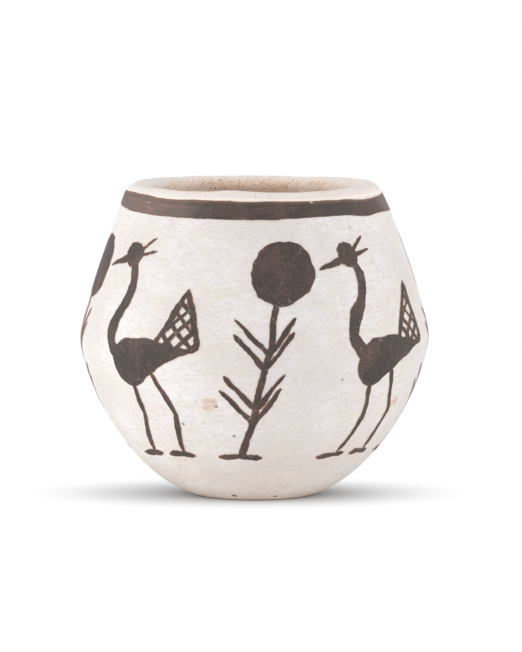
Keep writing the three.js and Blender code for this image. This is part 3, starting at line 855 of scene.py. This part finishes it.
def plantReach(xs, ys, seed):
    width, fine = brush["width"], brush["fine"]
    root, flower = plant["root"], plant["flower"]
    parts = [
        discReach(xs, ys, flower, plant["flowerRadius"], seed),
        strokeReach(xs, ys, (root, flower), 1.25 * width, 1.05 * width, seed),
        strokeReach(xs, ys, plant["ground"], width, width, seed + 1),
    ]
    for height in plant["leafHeights"]:
        x = np.interp(height, (root[1], flower[1]), (root[0], flower[0]))
        for reachX, reachY in (plant["leftLeaf"], plant["rightLeaf"]):
            leaf = ((x, height), (x + reachX, height + reachY))
            parts.append(strokeReach(xs, ys, leaf, width, fine, seed + height))
    return np.minimum.reduce(parts)


def makeFigure(name, node, reachOf, azimuth, seed):
    bm = bmesh.new()
    cell = sheet["cell"]
    columns = int((sheet["columns"] + sheet["margin"]) / cell)
    rows = int((sheet["rows"] + sheet["margin"]) / cell)
    bmesh.ops.create_grid(bm, x_segments=columns, y_segments=rows, size=1)
    bmesh.ops.scale(bm, vec=(columns * cell / 2, rows * cell / 2, 1), verts=bm.verts)
    bmesh.ops.translate(bm, vec=(0, sheet["rows"] / 2, 0), verts=bm.verts)

    def reachAt(xs, ys):
        # the hand sways slowly along a stroke, and the brush leaves a lumpy edge
        swayX = np.sin(0.42 * ys + 1.3 * seed) + 0.5 * np.sin(0.95 * ys - 0.6 * xs + seed)
        swayY = np.sin(0.45 * xs + 2.1 * seed) + 0.5 * np.sin(0.9 * xs + 0.5 * ys + 2 * seed)
        return reachOf(xs + brush["sway"] * swayX, ys + brush["sway"] * swayY, seed)

    bm.verts.ensure_lookup_table()
    xs, ys, _ = np.array([corner.co for corner in bm.verts]).T
    reach = reachAt(xs, ys)
    for index in np.flatnonzero(np.abs(reach) < brush["edgeZone"]):
        spot = Vector((xs[index], ys[index], 7.0 * seed))
        lumps = brush["lump"] * noise.noise(spot / brush["lumpSize"])
        lumps += 0.8 * brush["lump"] * noise.noise(spot / brush["swellSize"])
        reach[index] += lumps
    # vertices close to the painted edge move onto it
    grid = reach.reshape(rows + 1, columns + 1)
    slopeY, slopeX = np.gradient(grid, cell)
    steep = np.maximum(np.hypot(slopeX, slopeY), 0.5).ravel()
    slopeX, slopeY = slopeX.ravel() / steep, slopeY.ravel() / steep
    inner = reach < -sheet["innerFrom"] * cell
    moved = np.where(np.abs(reach) < sheet["snapWithin"] * cell, reach / steep, 0.0)
    moved = np.where(inner, 0.0, moved)
    inEdge = bm.verts.layers.float.new("inFromEdge")
    moves = zip(bm.verts, inner, moved, slopeX, slopeY, reach)
    for corner, isInner, step, wayX, wayY, depth in moves:
        corner.co.x -= step * wayX
        corner.co.y -= step * wayY
        corner[inEdge] = max(0.0, -depth) if isInner else 0.0
    painted = dict(zip(bm.verts, inner))
    blank = [face for face in bm.faces if not any(painted[corner] for corner in face.verts)]
    bmesh.ops.delete(bm, geom=blank, context="FACES")
    # where two painted areas touch at one vertex only, each gets its own
    for corner in list(bm.verts):
        if sum(edge.is_boundary for edge in corner.link_edges) > 2:
            bmesh.utils.vert_separate(corner, [])
    across = np.array([corner.co.x for corner in bm.verts]) * sheet["across"]
    height = np.array([corner.co.y for corner in bm.verts]) * sheet["up"] + sheet["foot"]
    radius = onOutline(alongAt(height))[:, 0]
    wrapOnWall(bm, radians(azimuth) + np.arcsin(across / radius), alongAt(height))
    thickenFilm(bm)
    finishPiece(bm, name, figurePaint, "dark_paint", node)


for pair in range(4):
    plantAt = sheet["firstPlant"] + 90 * pair
    makeFigure("plant%d" % (pair + 1), "plant_%d" % (pair + 1), plantReach, plantAt, 1 + pair)
    makeFigure("bird%d" % (pair + 1), "bird_%d" % (pair + 1), birdReach, plantAt + 45, 11 + pair)


# Floor, light and camera

studio = {
    "dome": 0.48, "tableLight": 1.08, "tableShare": 0.85,
    "floorShadeColour": (0.54, 0.56, 0.58, 1.0), "tableHalf": 6, "shadow": (0.008, 0.046),
    "darkUnder": (0.007, 0.040), "shadowMiddle": (0.001, -0.0045, 0), "shadowShape": (1, 1.45, 1),
    "lampAim": (0, 0, 0.03),
    "lamps": [  # place in metres, size, watts
        ("leftLamp", (-0.70, -0.16, 0.25), 0.50, 2.8),
        ("rightLamp", (0.68, -0.20, 0.26), 0.45, 1.45),
        ("frontLamp", (-0.10, -0.75, 0.08), 0.50, 1.0),
        ("topLamp", (0.16, 0.0, 0.72), 0.50, 0.7),
        ("backLamp", (0.22, 0.20, 0.66), 0.50, 0.6),
    ],
}


def seenDirectly(tree):
    # 1 for rays that see the backdrop itself, in a reflection or through something
    path = nodeIn(tree, "LightPath")
    seen = mathOf(tree, "MAXIMUM", path.outputs["Is Camera Ray"], path.outputs["Is Glossy Ray"])
    return mathOf(tree, "MAXIMUM", seen, path.outputs["Is Transmission Ray"])


def makeFloor():
    bm = bmesh.new()
    bmesh.ops.create_grid(bm, x_segments=1, y_segments=1, size=studio["tableHalf"])
    mesh = bpy.data.meshes.new("floor")
    bm.to_mesh(mesh)
    bm.free()
    floor = bpy.data.objects.new("floor", mesh)
    bpy.context.scene.collection.objects.link(floor)
    material = bpy.data.materials.new("paleFloor")
    material.use_nodes = True
    tree = material.node_tree
    shader = tree.nodes["Principled BSDF"]
    # the floor's grey colour is painted shade that darkens the floor round the pot inside the oval
    shader.inputs["Base Color"].default_value = studio["floorShadeColour"]
    shader.inputs["Roughness"].default_value = 1.0
    shader.inputs["Specular IOR Level"].default_value = 0.0
    # the floor turns pure white outside a flat oval round the pot's shadow
    coords = nodeIn(tree, "TexCoord").outputs["Object"]
    oval = nodeIn(tree, "Mapping", {"Vector": coords, "Location": studio["shadowMiddle"],
                                    "Scale": studio["shadowShape"]})
    away = nodeIn(tree, "VectorMath", {0: oval.outputs[0]}, operation="LENGTH").outputs["Value"]
    seen = seenDirectly(tree)
    # a glowing table: outside the pot's shadow the floor itself gives off soft light up at the pot,
    # though it is no lamp
    strength = nodeIn(tree, "Mix", {0: seen, 2: studio["tableLight"], 3: 1.0}).outputs[0]
    white = nodeIn(tree, "Emission", {"Color": (1, 1, 1, 1), "Strength": strength})
    share = ranged(tree, away, *studio["shadow"])
    thrown = ranged(tree, away, *studio["darkUnder"], 0, studio["tableShare"])
    share = nodeIn(tree, "Mix", {0: seen, 2: thrown, 3: share}).outputs[0]
    mixed = nodeIn(tree, "MixShader", {0: share, 1: shader.outputs[0], 2: white.outputs[0]})
    tree.links.new(mixed.outputs[0], tree.nodes["Material Output"].inputs["Surface"])
    mesh.materials.append(material)


def lightScene():
    world = bpy.data.worlds.new("studio")
    world.use_nodes = True
    bpy.context.scene.world = world
    tree = world.node_tree
    dome = tree.nodes["Background"]
    dome.inputs["Color"].default_value = (1, 1, 1, 1)
    dome.inputs["Strength"].default_value = studio["dome"]
    white = nodeIn(tree, "Background", {"Color": (1, 1, 1, 1), "Strength": 1.0})
    seen = seenDirectly(tree)
    mixed = nodeIn(tree, "MixShader", {0: seen, 1: dome.outputs[0], 2: white.outputs[0]})
    tree.links.new(mixed.outputs[0], tree.nodes["World Output"].inputs["Surface"])
    for name, place, size, watts in studio["lamps"]:
        lamp = bpy.data.lights.new(name, "AREA")
        lamp.shape = "DISK"
        lamp.size = size
        lamp.energy = watts
        holder = bpy.data.objects.new(name, lamp)
        holder.location = place
        aim = Vector(studio["lampAim"]) - Vector(place)
        holder.rotation_euler = aim.to_track_quat("-Z", "Y").to_euler()
        bpy.context.scene.collection.objects.link(holder)


view = {"distance": 1.7, "elevation": 5.2, "aim": (0.0013, 0, 0.034), "lens": 467.9, "sensor": 36}


def placeCamera():
    camera = bpy.data.cameras.new("camera")
    camera.sensor_fit = "VERTICAL"
    camera.sensor_height = view["sensor"]
    camera.lens = view["lens"]
    holder = bpy.data.objects.new("camera", camera)
    aim = Vector(view["aim"])
    tilt = radians(view["elevation"])
    holder.location = aim + Vector((0, -cos(tilt), sin(tilt))) * view["distance"]
    holder.rotation_euler = (aim - holder.location).to_track_quat("-Z", "Y").to_euler()
    bpy.context.scene.collection.objects.link(holder)
    bpy.context.scene.camera = holder


makeFloor()
lightScene()
placeCamera()
bpy.context.scene.view_settings.view_transform = "Standard"
print("floor, light and camera placed")
